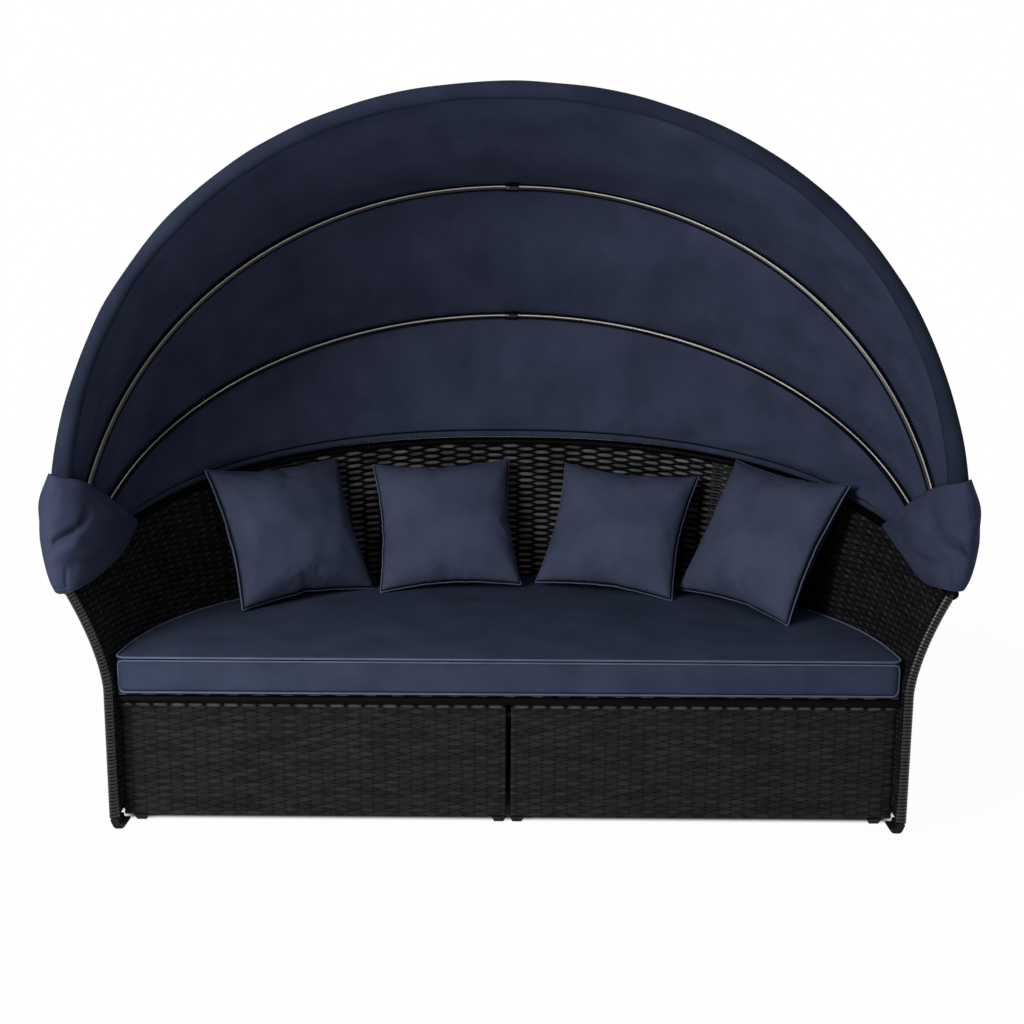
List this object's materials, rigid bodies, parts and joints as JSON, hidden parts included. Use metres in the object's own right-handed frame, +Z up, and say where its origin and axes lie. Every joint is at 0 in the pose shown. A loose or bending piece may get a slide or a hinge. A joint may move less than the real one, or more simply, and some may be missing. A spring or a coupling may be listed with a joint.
{
  "type": "outdoor daybed with canopy",
  "caption": "Outdoor wicker daybed with a horseshoe wall, folding fabric canopy on hinged bows, thick seat cushion, throw pillows and pull-out quarter-oval ottomans",
  "frame": {"origin": "centre of the footprint's box, on the ground", "axes": "+X to the right seen from the front, +Y to the back, +Z up; the daybed faces -Y"},
  "size_m": [1.884, 0.8532, 1.4721],
  "materials": {
    "wicker": "satin",
    "frame_tube": "satin",
    "bow_tube": "gloss",
    "zinc": "satin",
    "foot": "matte",
    "navy_fabric": "matte"
  },
  "bodies": {
    "shell": {"wall_inner_weave": "wicker", "wall_outer_weave": "wicker", "rim_tube": "wicker", "base_ring": "wicker", "front_post_right": "wicker", "front_post_left": "wicker", "seat_front_rail": "frame_tube", "seat_curved_rail": "frame_tube", "seat_deck_weave": "wicker", "front_foot_right": "foot", "front_foot_left": "foot", "back_post_1": "frame_tube", "back_post_2": "frame_tube", "back_post_3": "frame_tube", "back_post_4": "frame_tube", "back_post_5": "frame_tube", "seat_cross_tube_1": "frame_tube", "seat_cross_tube_2": "frame_tube", "seat_cross_tube_3": "frame_tube", "rear_foot_1": "foot", "rear_foot_2": "foot", "rear_foot_3": "foot", "pivot_bracket_right": "bow_tube", "pivot_bracket_left": "bow_tube", "pivot_bolt_right": "zinc", "pivot_bolt_left": "zinc", "pivot_nut_right": "zinc", "pivot_nut_left": "zinc", "canopy_cap_right": "navy_fabric", "canopy_cap_left": "navy_fabric", "canopy_rear_hem": "navy_fabric"},
    "lower_bow": {"lower_bow_tube_right": "bow_tube", "lower_bow_tube_left": "bow_tube", "lower_bow_coupler": "bow_tube", "canopy_rear_panel": "navy_fabric"},
    "upper_bow": {"upper_bow_tube_right": "bow_tube", "upper_bow_tube_left": "bow_tube", "upper_bow_coupler": "bow_tube", "canopy_middle_panel": "navy_fabric"},
    "front_hoop": {"front_hoop_tube_right": "bow_tube", "front_hoop_tube_left": "bow_tube", "front_hoop_coupler": "bow_tube", "front_hoop_sleeve": "navy_fabric", "canopy_front_panel": "navy_fabric"},
    "right_ottoman": {"ottoman_weave_right": "wicker", "ottoman_frame_right": "frame_tube", "ottoman_inner_foot_right": "foot", "ottoman_outer_foot_right": "foot", "ottoman_back_foot_right": "foot"},
    "left_ottoman": {"ottoman_weave_left": "wicker", "ottoman_frame_left": "frame_tube", "ottoman_inner_foot_left": "foot", "ottoman_outer_foot_left": "foot", "ottoman_back_foot_left": "foot"},
    "seat_pad": {"seat_cushion": "navy_fabric"},
    "throw_pillow_1": {"pillow_1": "navy_fabric"},
    "throw_pillow_2": {"pillow_2": "navy_fabric"},
    "throw_pillow_3": {"pillow_3": "navy_fabric"},
    "throw_pillow_4": {"pillow_4": "navy_fabric"}
  },
  "joints": [
    {"name": "canopy_lower_fold", "type": "hinge", "parent": "shell", "child": "lower_bow", "pos_m": [0, -0.31816, 0.58], "axis": [-1, 0, 0], "range_deg": [0, 17], "deforming": ["canopy_rear_panel", "canopy_cap_right", "canopy_cap_left"]},
    {"name": "canopy_upper_fold", "type": "hinge", "parent": "lower_bow", "child": "upper_bow", "pos_m": [0, -0.31816, 0.58], "axis": [-1, 0, 0], "range_deg": [0, 22], "deforming": ["canopy_middle_panel"]},
    {"name": "canopy_front_fold", "type": "hinge", "parent": "upper_bow", "child": "front_hoop", "pos_m": [0, -0.31816, 0.58], "axis": [-1, 0, 0], "range_deg": [0, 33], "deforming": ["canopy_front_panel"]},
    {"name": "right_ottoman_slide", "type": "slide", "parent": "shell", "child": "right_ottoman", "axis": [0, -1, 0], "range_m": [0, 0.8]},
    {"name": "left_ottoman_slide", "type": "slide", "parent": "shell", "child": "left_ottoman", "axis": [0, -1, 0], "range_m": [0, 0.8]},
    {"name": "seat_cushion_lift", "type": "slide", "parent": "shell", "child": "seat_pad", "axis": [0, -0.6, 0.8], "range_m": [0, 0.3]},
    {"name": "pillow_1_lift", "type": "slide", "parent": "seat_pad", "child": "throw_pillow_1", "axis": [0, -0.5, 0.866], "range_m": [0, 0.25]},
    {"name": "pillow_2_lift", "type": "slide", "parent": "seat_pad", "child": "throw_pillow_2", "axis": [0, -0.5, 0.866], "range_m": [0, 0.25]},
    {"name": "pillow_3_lift", "type": "slide", "parent": "seat_pad", "child": "throw_pillow_3", "axis": [0, -0.5, 0.866], "range_m": [0, 0.25]},
    {"name": "pillow_4_lift", "type": "slide", "parent": "seat_pad", "child": "throw_pillow_4", "axis": [0, -0.5, 0.866], "range_m": [0, 0.25]}
  ],
  "couplings": [
    {"joint": "canopy_upper_fold", "follows": "canopy_lower_fold", "ratio": 1.294},
    {"joint": "canopy_front_fold", "follows": "canopy_lower_fold", "ratio": 1.941}
  ]
}
